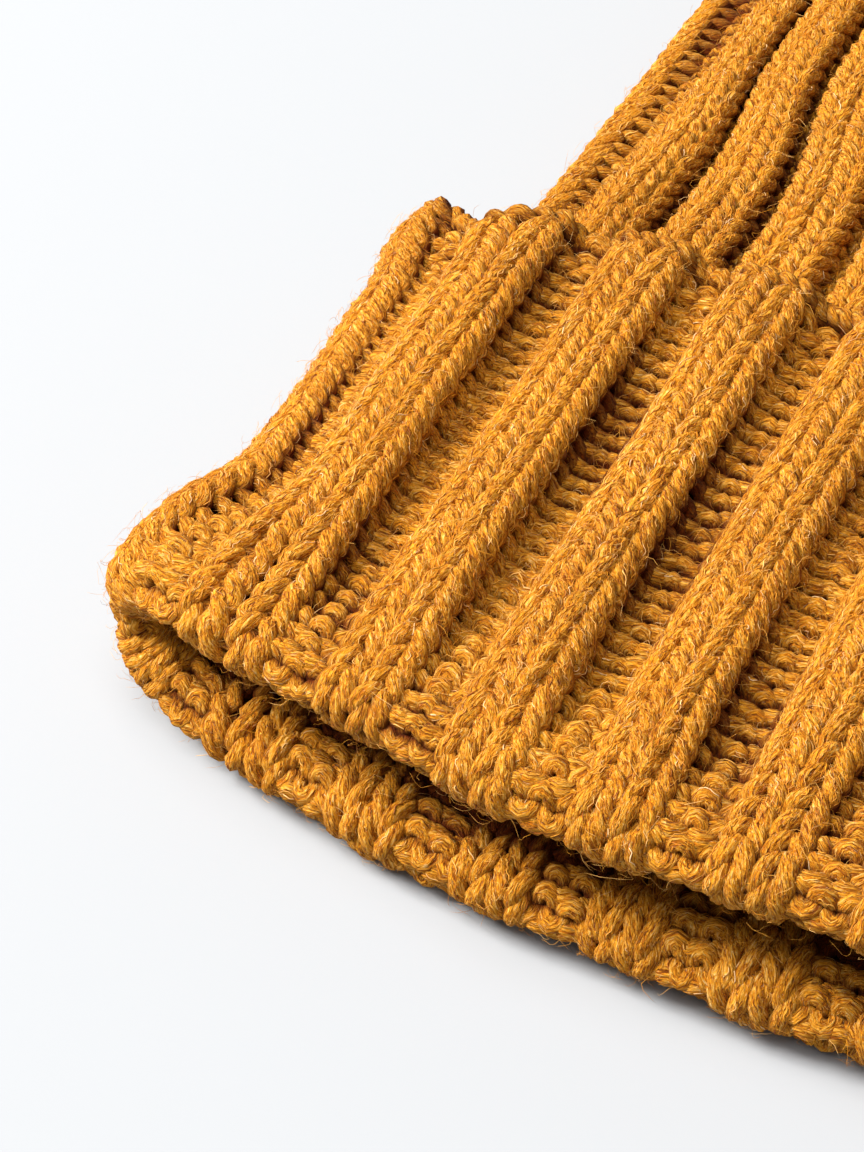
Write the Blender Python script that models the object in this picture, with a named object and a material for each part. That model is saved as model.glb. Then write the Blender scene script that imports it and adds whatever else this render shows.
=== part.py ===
"""A ribbed knit beanie with a turned-up cuff, lying flat on its back layer.

The hat's axis is Y, with the brim at -Y and the crown at +Y. X runs across the hat and Z is up, so its
front layer is on top. The origin is at the middle of the hat's footprint. All sizes are in metres.
Distances "along" the hat are measured from the line where the fabric turns back at the brim.
"""

import math

import bmesh
import bpy

# Driving dimensions
FABRIC = 0.0052            # thickness of the ribbed fabric
TOUCH_GAP = 0.0004         # clearance between pieces that lie against each other
TURN_GAP = 0.0008          # clearance between the rolled brim and the two layers that it joins
TURN_HOLLOW = 0.0024       # depth of the groove between the two layers, at the turn
CUFF_LENGTH = 0.082        # turned-up layer, from the turn to its edge
CROWN_START = 0.150        # where the decreases begin
NECK_END = 0.2165          # where the last stitches are drawn together
CROWN_TOP = 0.2224         # top of the gathered stitches
CUFF_HALF_WIDTH = 0.0942   # middle of the cuff's fabric, at the side
CUFF_HALF_HEIGHT = 0.0109
LAYER_STEP = 0.0056        # from the middle of the cuff's fabric to the middle of the layer inside it
TUBE_HALF_WIDTH = 0.0836   # above the cuff, where the ribs pull in
TUBE_HALF_HEIGHT = 0.0080
NECK_HALF_WIDTH = 0.0095
NECK_HALF_HEIGHT = 0.0075
CORNER_SETBACK = 0.0112    # how far the brim line runs back towards the corners
SETBACK_FROM = 0.045       # half width within which the brim line is straight
SIDE_SETBACK = 0.0025      # how much further it runs back round the sides
SETBACK_TO = 0.075         # how far up the hat the set-back fades out
SIDE_FLARE = 0.0068        # how far the cuff's sides spread at the brim
FLARE_TO = 0.024           # where the spreading has faded out
EDGE_RADIUS = 0.0017       # chain of cast-on loops along the cuff's edge
YARN_RADIUS = 0.0011

# Derived sizes
HALF_FABRIC = FABRIC / 2
CUFF_CENTRE = CUFF_HALF_HEIGHT + HALF_FABRIC
TUBE_CENTRE = TUBE_HALF_HEIGHT + HALF_FABRIC + 0.0002
TURN_RADIUS = LAYER_STEP / 2 + HALF_FABRIC
LENGTH = CROWN_TOP + TURN_RADIUS + TURN_GAP
BRIM_Y = -LENGTH / 2 + TURN_RADIUS + TURN_GAP

# How finely the shapes are divided
ARC_STEPS = 10             # on each side's half circle, an even number
FLAT_STEPS = 10            # across each flat stretch, an even number
TURN_STEPS = 6
CUFF_STATIONS = (0.0, 0.006, 0.012, 0.018, 0.024, 0.042, 0.062, CUFF_LENGTH)
TUBE_STATIONS = (0.0, 0.012, 0.024, 0.036, 0.048, 0.060, 0.075, 0.088, 0.098, 0.108, 0.118, 0.135, CROWN_START)
CROWN_STEPS = 9
GATHER_RINGS = 4

MUSTARD = (0.63, 0.31, 0.035)
MUSTARD_DARK = (0.55, 0.26, 0.030)


def ease(value, low, high):
    """0 below low, 1 above high, and smooth in between."""
    share = min(1.0, max(0.0, (value - low) / (high - low)))
    return share * share * (3 - 2 * share)


def cuff_half_width(along):
    return CUFF_HALF_WIDTH + SIDE_FLARE * (1 - ease(along, 0.0, FLARE_TO))


def tube_half_width(along):
    under_cuff = CUFF_HALF_WIDTH - LAYER_STEP
    width = under_cuff + (TUBE_HALF_WIDTH - under_cuff) * ease(along, 0.0, 0.095)
    closing = min(1.0, max(0.0, along - CROWN_START) / (NECK_END - CROWN_START))
    return NECK_HALF_WIDTH + (width - NECK_HALF_WIDTH) * (1 - closing**2.2) ** 0.75


def tube_half_height(along):
    under_cuff = CUFF_HALF_HEIGHT - LAYER_STEP
    height = under_cuff + (TUBE_HALF_HEIGHT - under_cuff) * ease(along, 0.090, 0.118)
    return height + (NECK_HALF_HEIGHT - height) * ease(along, CROWN_START, NECK_END)


def tube_centre(along):
    """Height of the tube's middle: it lies on the cuff's back layer, and above the cuff on the table."""
    return CUFF_CENTRE + (TUBE_CENTRE - CUFF_CENTRE) * ease(along, 0.088, 0.118)


def flat_ring(half_width, half_height):
    """A closed ring of (x, z, outward x, outward z): two flat stretches joined by half circles.

    It starts at the middle of the left side and runs over the top, so half of the ring is the front layer.
    """
    run = half_width - half_height
    quarter = ARC_STEPS // 2
    ring = []
    for step in range(quarter):
        turn = math.pi - math.pi * step / ARC_STEPS
        ring.append((-run + half_height * math.cos(turn), half_height * math.sin(turn),
                     math.cos(turn), math.sin(turn)))
    for step in range(FLAT_STEPS):
        ring.append((-run + 2 * run * step / FLAT_STEPS, half_height, 0.0, 1.0))
    for step in range(ARC_STEPS):
        turn = math.pi / 2 - math.pi * step / ARC_STEPS
        ring.append((run + half_height * math.cos(turn), half_height * math.sin(turn),
                     math.cos(turn), math.sin(turn)))
    for step in range(FLAT_STEPS):
        ring.append((run - 2 * run * step / FLAT_STEPS, -half_height, 0.0, -1.0))
    for step in range(ARC_STEPS - quarter):
        turn = -math.pi / 2 - math.pi * step / ARC_STEPS
        ring.append((-run + half_height * math.cos(turn), half_height * math.sin(turn),
                     math.cos(turn), math.sin(turn)))
    return ring


def brim_setbacks():
    """How far the brim line lies towards the crown at each point round the ring: not at all in the middle."""
    half_width = cuff_half_width(0.0) - LAYER_STEP / 2
    setbacks = []
    for x, _, out_x, _ in flat_ring(half_width, CUFF_HALF_HEIGHT - LAYER_STEP / 2):
        reach = max(0.0, abs(x) - SETBACK_FROM) / (half_width - SETBACK_FROM)
        setbacks.append(CORNER_SETBACK * reach**1.25 + SIDE_SETBACK * out_x**2)
    return setbacks


def fabric_section(half_width, half_height, along, centre, setback_share=0.0):
    """One section of a fabric layer: its (outer point, inner point) pairs round the hat."""
    pairs = []
    ring = flat_ring(half_width, half_height)
    for (x, z, out_x, out_z), setback in zip(ring, brim_setbacks()):
        y = BRIM_Y + along + setback_share * setback
        outer = (x + HALF_FABRIC * out_x, y, centre + z + HALF_FABRIC * out_z)
        inner = (x - HALF_FABRIC * out_x, y, centre + z - HALF_FABRIC * out_z)
        pairs.append((outer, inner))
    return pairs


def material(name, colour, roughness):
    made = bpy.data.materials.new(name)
    made.use_nodes = True
    shader = made.node_tree.nodes["Principled BSDF"]
    shader.inputs["Base Color"].default_value = (*colour, 1.0)
    shader.inputs["Roughness"].default_value = roughness
    shader.inputs["Metallic"].default_value = 0.0
    return made


def place(name, mesh_or_curve, look):
    made = bpy.data.objects.new(name, mesh_or_curve)
    made.data.materials.append(look)
    bpy.context.scene.collection.objects.link(made)
    return made


def finish_mesh(name, shape, look):
    """Turns a bmesh into a smooth-shaded object whose faces point outwards."""
    bmesh.ops.recalc_face_normals(shape, faces=shape.faces)
    mesh = bpy.data.meshes.new(name)
    shape.to_mesh(mesh)
    shape.free()
    mesh.shade_smooth()
    mesh.set_sharp_from_angle(angle=math.radians(40))
    return place(name, mesh, look)


def fabric_piece(name, sections, look, closed=True):
    """A layer of fabric through sections of (outer, inner) pairs. Open pieces also get walls at their two sides."""
    shape = bmesh.new()
    rows = []
    for section in sections:
        rows.append([(shape.verts.new(outer), shape.verts.new(inner)) for outer, inner in section])
    count = len(rows[0])
    spans = range(count if closed else count - 1)
    for low, high in zip(rows, rows[1:]):
        for i in spans:
            j = (i + 1) % count
            for side in (0, 1):
                shape.faces.new((low[i][side], low[j][side], high[j][side], high[i][side]))
    for row in (rows[0], rows[-1]):
        for i in spans:
            j = (i + 1) % count
            shape.faces.new((row[i][0], row[j][0], row[j][1], row[i][1]))
    if not closed:
        for i in (0, count - 1):
            for low, high in zip(rows, rows[1:]):
                shape.faces.new((low[i][0], high[i][0], high[i][1], low[i][1]))
    return finish_mesh(name, shape, look)


def tube_section(along):
    setback_share = 1 - ease(along, 0.0, SETBACK_TO)
    return fabric_section(tube_half_width(along), tube_half_height(along), along, tube_centre(along), setback_share)


def make_body_tube(look):
    fabric_piece("body_tube", [tube_section(along) for along in TUBE_STATIONS], look)


def make_crown_wedges(look):
    """The crown in four wedges, each between two lines of decreases: the hat's sides and its middle."""
    first = CROWN_START + TOUCH_GAP
    stations = []
    for step in range(CROWN_STEPS + 1):
        share = math.sin(math.pi / 2 * step / CROWN_STEPS)
        stations.append(first + (NECK_END - first) * share)
    sections = [tube_section(along) for along in stations]
    around = len(sections[0])
    quarter = around // 4
    names = ("crown_wedge_front_left", "crown_wedge_front_right", "crown_wedge_back_right", "crown_wedge_back_left")
    for number, name in enumerate(names):
        picked = [(number * quarter + step) % around for step in range(quarter + 1)]
        wedge = [trim_sides([section[i] for i in picked]) for section in sections]
        fabric_piece(name, wedge, look, closed=False)


def trim_sides(pairs):
    """Moves the first and last pair of a row half a gap towards their neighbours, which parts the wedges."""
    trimmed = list(pairs)
    for end, neighbour in ((0, 1), (len(pairs) - 1, len(pairs) - 2)):
        moved = []
        for point, towards in zip(pairs[end], pairs[neighbour]):
            length = math.dist(point, towards)
            share = min(0.5, TOUCH_GAP / length)
            moved.append(tuple(a + (b - a) * share for a, b in zip(point, towards)))
        trimmed[end] = tuple(moved)
    return trimmed


def make_crown_gather(look):
    """The last stitches, bunched into a small dome that closes the crown."""
    base = NECK_END + TOUCH_GAP
    height = CROWN_TOP - base
    shape = bmesh.new()
    rings = []
    for level in range(GATHER_RINGS):
        rise = math.sin(math.pi / 2 * level / GATHER_RINGS)
        spread = math.cos(math.pi / 2 * level / GATHER_RINGS)
        ring = []
        for x, z, out_x, out_z in flat_ring(NECK_HALF_WIDTH, NECK_HALF_HEIGHT):
            point = ((x + HALF_FABRIC * out_x) * spread, BRIM_Y + base + height * rise,
                     TUBE_CENTRE + (z + HALF_FABRIC * out_z) * spread)
            ring.append(shape.verts.new(point))
        rings.append(ring)
    shape.faces.new(rings[0])
    for low, high in zip(rings, rings[1:]):
        for i in range(len(low)):
            j = (i + 1) % len(low)
            shape.faces.new((low[i], low[j], high[j], high[i]))
    tip = shape.verts.new((0.0, BRIM_Y + CROWN_TOP, TUBE_CENTRE))
    for i in range(len(rings[-1])):
        shape.faces.new((rings[-1][i], rings[-1][(i + 1) % len(rings[-1])], tip))
    finish_mesh("crown_gather", shape, look)


def make_closing_yarn(look):
    """The yarn drawn through the last stitches: a ring inside the neck of the crown."""
    bpy.ops.mesh.primitive_torus_add(
        major_radius=0.0033, minor_radius=YARN_RADIUS, major_segments=20, minor_segments=8,
        location=(0.0, BRIM_Y + NECK_END - 0.0020, TUBE_CENTRE), rotation=(math.pi / 2, 0.0, 0.0))
    ring = bpy.context.object
    ring.name = "closing_yarn"
    ring.data.name = "closing_yarn"
    ring.data.shade_smooth()
    ring.data.materials.append(look)


def yarn_curve(name, points, radius, look, cyclic=False):
    """A round yarn through these points."""
    curve = bpy.data.curves.new(name, "CURVE")
    curve.dimensions = "3D"
    curve.bevel_depth = radius
    curve.bevel_resolution = 2
    curve.use_fill_caps = not cyclic
    line = curve.splines.new("POLY")
    line.points.add(len(points) - 1)
    for point, place_at in zip(line.points, points):
        point.co = (*place_at, 1.0)
    line.use_cyclic_u = cyclic
    place(name, curve, look)


def make_crown_yarn_end(look):
    """The tail left after closing the crown, woven in along the inside of the front layer."""
    steps = 24
    start, length, drift, sway = NECK_END - 0.0045, 0.038, 0.012, 0.0016
    points = []
    for step in range(steps + 1):
        share = step / steps
        along = start - length * share
        inside = tube_half_height(along) - HALF_FABRIC - YARN_RADIUS - TOUCH_GAP
        x = drift * share + sway * math.sin(5 * math.pi * share)
        rise = inside - 0.0012 * math.sin(math.pi * share) ** 2
        points.append((x, BRIM_Y + along, tube_centre(along) + rise))
    yarn_curve("crown_yarn_end", points, YARN_RADIUS, look)


def make_cuff_layer(look):
    sections = []
    for along in CUFF_STATIONS:
        setback_share = 1 - ease(along, 0.0, SETBACK_TO)
        sections.append(fabric_section(cuff_half_width(along), CUFF_HALF_HEIGHT, along, CUFF_CENTRE, setback_share))
    fabric_piece("cuff_layer", sections, look)


def make_brim_fold(look):
    """The roll where the fabric turns back: a half-round edge that joins the inner and the outer layer."""
    outside = flat_ring(cuff_half_width(0.0), CUFF_HALF_HEIGHT)
    inside = flat_ring(tube_half_width(0.0), tube_half_height(0.0))
    shape = bmesh.new()
    rows = []
    for (x, z, out_x, out_z), (in_x, in_z, _, _), setback in zip(outside, inside, brim_setbacks()):
        middle_x, middle_z = (x + in_x) / 2, (z + in_z) / 2
        reach_x = (x - in_x) / 2 + HALF_FABRIC * out_x
        reach_z = (z - in_z) / 2 + HALF_FABRIC * out_z
        y = BRIM_Y + setback - TURN_GAP
        row = []
        for step in range(TURN_STEPS + 1):
            turn = math.pi * step / TURN_STEPS
            share = math.cos(turn)
            point = (middle_x + reach_x * share, y - TURN_RADIUS * math.sin(turn),
                     CUFF_CENTRE + middle_z + reach_z * share)
            row.append(shape.verts.new(point))
        row.append(shape.verts.new((middle_x, y - TURN_HOLLOW, CUFF_CENTRE + middle_z)))
        rows.append(row)
    for i, row in enumerate(rows):
        following = rows[(i + 1) % len(rows)]
        for j in range(len(row)):
            k = (j + 1) % len(row)
            shape.faces.new((row[j], row[k], following[k], following[j]))
    finish_mesh("brim_fold", shape, look)


def make_cast_on_edge(look):
    """The chain of cast-on loops along the cuff's free edge."""
    y = BRIM_Y + CUFF_LENGTH + EDGE_RADIUS + TOUCH_GAP
    ring = flat_ring(cuff_half_width(CUFF_LENGTH), CUFF_HALF_HEIGHT)
    yarn_curve("cast_on_edge", [(x, y, CUFF_CENTRE + z) for x, z, _, _ in ring], EDGE_RADIUS, look, cyclic=True)


def main():
    for old in list(bpy.data.objects):
        bpy.data.objects.remove(old, do_unlink=True)
    knit = material("knit_fabric", MUSTARD, 0.95)
    cuff_knit = material("cuff_fabric", MUSTARD, 0.95)
    yarn = material("yarn", MUSTARD_DARK, 0.95)
    make_body_tube(knit)
    make_crown_wedges(knit)
    make_crown_gather(knit)
    make_closing_yarn(yarn)
    make_crown_yarn_end(yarn)
    make_cuff_layer(cuff_knit)
    make_brim_fold(cuff_knit)
    make_cast_on_edge(yarn)


main()
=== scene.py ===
"""Looks of the knit beanie: every stitch of every round is a loop of yarn, with fibres lifting off it.

The fabric is one surface that runs from the cast-on edge down the turned-up cuff, round the brim and up the
inner layer to the crown. Rounds of yarn are laid on that surface as knit and purl loops. Everything is in
metres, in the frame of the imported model: Y runs from the brim to the crown, and Z is up.

On that surface a place is a share of the girth, and a way is the distance from the cast-on edge over the
fabric. A length along the hat starts at the brim.
"""

import math

import bpy
import numpy as np
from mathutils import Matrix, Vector


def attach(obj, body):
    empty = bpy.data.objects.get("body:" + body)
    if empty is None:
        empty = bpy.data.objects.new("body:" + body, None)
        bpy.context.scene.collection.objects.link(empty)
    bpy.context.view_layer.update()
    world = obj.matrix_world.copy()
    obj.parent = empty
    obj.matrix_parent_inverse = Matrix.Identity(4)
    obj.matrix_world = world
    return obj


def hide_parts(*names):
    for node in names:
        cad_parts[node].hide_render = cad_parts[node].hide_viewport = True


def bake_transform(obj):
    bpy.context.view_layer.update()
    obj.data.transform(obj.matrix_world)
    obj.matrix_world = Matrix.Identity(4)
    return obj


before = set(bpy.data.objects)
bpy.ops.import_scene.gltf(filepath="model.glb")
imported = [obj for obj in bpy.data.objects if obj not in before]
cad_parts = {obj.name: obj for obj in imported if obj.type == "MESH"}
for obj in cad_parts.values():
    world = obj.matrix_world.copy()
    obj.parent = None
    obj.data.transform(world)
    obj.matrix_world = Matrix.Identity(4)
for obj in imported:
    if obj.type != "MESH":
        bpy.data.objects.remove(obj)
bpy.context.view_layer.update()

# The hat's sizes; half widths and heights go to the middle of the fabric
CUFF_LENGTH = 0.082        # of the turned-up layer
CROWN_START, NECK_END, CROWN_TOP = 0.150, 0.2165, 0.2224
CUFF_HALF_WIDTH, CUFF_HALF_HEIGHT = 0.0942, 0.0109
TUBE_HALF_WIDTH, TUBE_HALF_HEIGHT = 0.0836, 0.0080
NECK_HALF_WIDTH, NECK_HALF_HEIGHT = 0.0095, 0.0075
CUFF_CENTRE, TUBE_CENTRE = 0.0135, 0.0108        # heights above the table
BRIM_Y = -0.1081
TURN = 0.0023              # radius of the turn at the brim, a little tighter than the layers lie
TURN_GAP = 0.0008          # how far before the brim's line the turn's middle lies
LAYER_STEP = 0.0056        # from the middle of one layer to the next
PARTING_TO = 0.015         # length over which the layers part from the turn's step to that one
NARROWING_TO = 0.095       # length over which the tube gets its own width
THINNING = (0.090, 0.118)  # lengths between which it gets its own height,
SINKING = (0.088, 0.118)   # and sinks to its own place above the table
CLOSING_CURVE = (2.2, 0.75)      # powers of the outline along which the crown closes
DOME = 0.011               # length over which the last rounds close
CORNER_SETBACK = 0.0112    # of the brim's line at its corners,
SETBACK_FROM = 0.045       # from this half width on,
SETBACK_POWER = 1.25
SIDE_SETBACK = 0.0025      # and a little more round the sides
SETBACK_TO = 0.075         # length over which the rounds straighten out
SIDE_FLARE = 0.0068        # how far the corners of the brim spread,
FLARE_TO = 0.024           # over this length
FLARE_SPAN = (0.0770, 0.0910)    # half widths between which the flare pulls the stitches apart
EDGE_FLARE = 0.0028        # of the cuff's sides at its free edge,
EDGE_FLARE_FROM = 0.066
EDGE_DIP = 0.0035          # and of the free edge where it turns down to the sides,
EDGE_DIP_FROM = 0.055
DIP_MIDDLE, DIP_WIDTH = 0.0880, 0.0050
EDGE_EAR = 0.0010          # and how much further it reaches round the sides

# The ribs' places
REPEATS = 26               # of two knit and two purl columns
REPEAT_WIDTH = 0.016
COLUMNS = 4 * REPEATS
GROUPS = 13                # of eight columns, each decreasing to one at the crown
GROUP_SHIFT = 0.125        # of the crown's columns, in groups, to meet the ribs
RIB_SHIFT = -0.0010        # of the front's middle rib from the hat's middle
SIDE_PULL = 0.0058         # how far the ribs crowd towards the sides under the cuff,
COVERED_SPAN = (0.040, 0.082)
BODY_PULL = 0.0050         # how much further above it,
BODY_PULL_SPAN = (0.096, 0.136)
BODY_PULL_POWER = 1.5      # and how much of that is near the sides
BODY_FLAT = 0.910          # share of the body's stitches that lie on its two flat stretches
LETTING_GO = (CROWN_START - 0.008, CROWN_START + 0.034)    # lengths over which the crown lets go of all that
KNIT_SHARE = 0.58          # of a repeat's width that the cast-on face's knit columns take on the cuff,
MOUTH_LESS = 0.08          # how much less inside the brim,
MOUTH_SPAN = (-0.004, 0.010)
BODY_LESS = 0.28           # and on the body
BODY_SPAN = (0.066, 0.088)

# The stitches
ROW = 0.00293              # from one round to the next
LEAST_ROW = 0.0017         # the same at the crown's top,
CROWN_ROW = 0.88           # and as a share of ROW where the crown closes
CROWN_SLOPE = 0.55         # how much of the crown's narrowing counts as way over it
CROWN_REACH = 1.25         # of the crown's loops, in rounds
CROWN_COLUMN = 0.0035      # width of a column that the crown's decreases keep to
GATHER_ROUNDS = (0.0018, 0.0045, 0.0070)         # past the crown's end
CUFF_SHORT, BRIM_LONG = 0.0005, 0.0010           # which round is the first and the last of the brim
YARN = 0.00115             # radius of the yarn
CLOSING_YARN = 0.0010      # radius of the yarn that closes the crown
STITCH_YARN = 0.0140       # yarn in each stitch
PLIES, PLY_DEPTH = 3, 0.06
ROUGH = 0.045              # unevenness of the yarn's surface, as a share of its radius
TWIST = 290.0              # turn of the fibres round the yarn, radians per metre
RELIEF = 0.00215           # of the ribs from the fabric's middle,
START_RELIEF = (0.60, 0.40, 0.006)               # its share at the cast-on edge, the rest, and over what length,
FLATTENED, FLATTENED_FROM = 0.00190, 0.016       # how much less at the brim, and how far from it that starts,
BODY_MORE = 0.00180        # how much more on the body,
FADING = (CROWN_START + 0.004, CROWN_START + 0.046)        # and where it fades out
STEEP = 3.0                # how squarely the ribs stand up
TURNING = 4.0              # how quickly a round turns from knit to purl
LEAN, LEAN_JITTER, COLUMN_JITTER = 1.50, 0.10, 0.022       # of the legs, in stitches
REACH, REACH_JITTER, ROUND_JITTER = 0.96, 0.045, 0.00012   # of the loops over the next round
LOOP_DEPTH, LOOP_SHIFT, LOOP_SINK = 0.00092, 0.00010, 0.00042    # less on the seen face, sunk on the other
NARROW_DEPTH = 0.6         # how much of that is left where a group has one or two columns
LIFT_JITTER = 0.00007
GIRTH = 0.4                # roughly, to turn a drift into a share of it
# smooth unevenness: its height, and the seed and waves across and along
ROUND_DRIFT, ROUND_WAVES = 0.00035, (5, 9.0, 12.0)
SIDE_DRIFT, SIDE_WAVES = 0.00050, (3, 8.0, 17.0)
LIFT_DRIFT, LIFT_WAVES = 0.00035, (4, 7.0, 19.0)
RELIEF_DRIFT, RELIEF_WAVES = 0.16, (9, 30.0, 9.0)
SWELL = 0.05               # of the yarn's radius
OUTER_END = CUFF_LENGTH + TURN_GAP          # distances from the cast-on edge, over the surface
TURN_END = OUTER_END + math.pi * TURN
MOUTH_DEPTH = 0.047        # how far into the hat the inside of the fabric is the side that is seen
PRESSED = 0.0015           # height below which the fabric is pressed flat on the table

# The fibres and the shading
LOWEST_FIBRE = 0.0002      # height in the stitches below which no loose fibres show
LOWEST_SEEN = 0.0022       # height above the table below which none do
CRIMP = 0.0011             # wavelength of the fibres' crimp
FIBRE_SLIP = 260.0         # spread of their turn round the yarn, radians per metre
FUZZ = (0.14, 0.86)        # share of them in the valleys, and how much more stay on the ribs,
FUZZ_SPAN = (-0.0002, 0.0012)    # between these heights
SEAT = 0.975               # radius, as a share of the yarn's, from which they start
SUNK = 0.68                # share of the ribs' relief that doesn't count as depth; the rest darkens the valleys with painted shade
MM = 1000                  # the shaders' lengths are in millimetres
GAP_DEPTH, TOP_DEPTH = -0.04, 1.15    # heights in the stitches, mm, between which the painted shade in the gaps fades to the yarn's own colour
# colour of the painted shade deep in the gaps between the stitches
PAINTED_GAP_SHADE = (0.200, 0.082, 0.004)
PAINTED_MOUTH_SHADE = 0.0015       # painted shade in the mouth, as it gets little light: how much lower the fabric there counts as lying, which darkens its colour and also leaves fewer loose fibres on it,
PAINTED_MOUTH_SHADE_SPAN = (-0.001, 0.007)    # and over what way that comes in
NEAR_EDGE = (0.002, 0.40, 0.113)      # line across the hat, left of which it is seen closest: x, slope and y
NEAR_TO = 0.045            # y at which that ends
FRONT_FROM = 0.010         # height from which the fabric is the front layer's,
MOUTH_TO = -0.090          # and y up to which the back layer is seen too
HAIR_LENGTH, HAIR_CURL, HAIR_CRUMPLE = (0.0008, 0.0034), 0.0010, 0.00006
HAIR_STANDING = 0.42       # how much of its arch a hair that stands free leaves out
RNG = np.random.default_rng(11)


def ease(value, low, high):
    share = np.clip((value - low) / (high - low), 0.0, 1.0)
    return share * share * (3 - 2 * share)


def unit(vectors):
    return vectors / np.maximum(np.linalg.norm(vectors, axis=-1, keepdims=True), 1e-12)


# ------------------------------------------------------------------------------------------------------------
# The fabric's surface
# ------------------------------------------------------------------------------------------------------------

def brim_flare(along):
    """How far the corners of the brim spread."""
    return SIDE_FLARE * (1 - ease(along, 0.0, FLARE_TO))


def cuff_half_width(along):
    """Middle of the turned-up layer at the side: it spreads at the brim, and a little at its free edge."""
    return CUFF_HALF_WIDTH + brim_flare(along) + EDGE_FLARE * ease(along, EDGE_FLARE_FROM, CUFF_LENGTH)


def layer_step(along):
    """From the middle of the turned-up layer to the middle of the layer inside it."""
    return 2 * TURN + (LAYER_STEP - 2 * TURN) * ease(along, 0.0, PARTING_TO)


def tube_half_width(along):
    under_cuff = CUFF_HALF_WIDTH + brim_flare(along) - layer_step(along)
    width = under_cuff + (TUBE_HALF_WIDTH - under_cuff) * ease(along, 0.0, NARROWING_TO)
    closing = np.clip((along - CROWN_START) / (NECK_END - CROWN_START), 0.0, 1.0)
    power, root = CLOSING_CURVE
    return NECK_HALF_WIDTH + (width - NECK_HALF_WIDTH) * (1 - closing**power) ** root


def tube_half_height(along):
    under_cuff = CUFF_HALF_HEIGHT - layer_step(along)
    height = under_cuff + (TUBE_HALF_HEIGHT - under_cuff) * ease(along, *THINNING)
    return height + (NECK_HALF_HEIGHT - height) * ease(along, CROWN_START, NECK_END)


def tube_centre(along):
    return CUFF_CENTRE + (TUBE_CENTRE - CUFF_CENTRE) * ease(along, *SINKING)


# share of the cuff's stitches that lie on its two flat stretches
CUFF_FLAT = 4 * (CUFF_HALF_WIDTH - CUFF_HALF_HEIGHT) / (REPEATS * REPEAT_WIDTH)


def ring(place, half_width, half_height, flat, flare):
    """Points x, z and the outward direction at shares of the girth from the middle of the front layer.

    Flat is the share of the girth on the two flat stretches. The flare widens the sides only.
    """
    run = half_width - half_height - flare
    place = (place + 0.5) % 1.0 - 0.5
    a, side = np.abs(place), np.where(place < 0, -1.0, 1.0)
    quarter = flat / 4
    turn = np.clip((a - quarter) / ((1 - flat) / 2), 0.0, 1.0) * math.pi
    x = np.where(a < quarter, run * a / quarter, run + half_height * np.sin(turn))
    x = np.where(a > 0.5 - quarter, run * (0.5 - a) / quarter, x)
    x = x + flare * ease(x, *FLARE_SPAN)
    return x * side, half_height * np.cos(turn), np.sin(turn) * side, np.cos(turn)


def brim_setback(place):
    """How far the brim's line lies back from its middle."""
    half_width = cuff_half_width(0.0) - TURN
    x, _, out_x, _ = ring(place, half_width, CUFF_HALF_HEIGHT - TURN, CUFF_FLAT, SIDE_FLARE)
    reach = np.maximum(0.0, np.abs(x) - SETBACK_FROM) / (half_width - SETBACK_FROM)
    return CORNER_SETBACK * reach**SETBACK_POWER + SIDE_SETBACK * out_x**2


def waves(place, way, seed, across=5.0, down=20.0, count=7):
    """Smooth noise of about unit height over the fabric, the same on both sides of the ring's seam."""
    rng = np.random.default_rng(seed)
    total = 0.0
    for _ in range(count):
        turns = rng.integers(1, int(across) + 2) * rng.choice((-1, 1))
        cycles = turns * place + rng.uniform(0.2, 1.0) * down * way
        total = total + np.sin(2 * math.pi * cycles + rng.uniform(0, 7))
    return total / math.sqrt(count)


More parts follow.
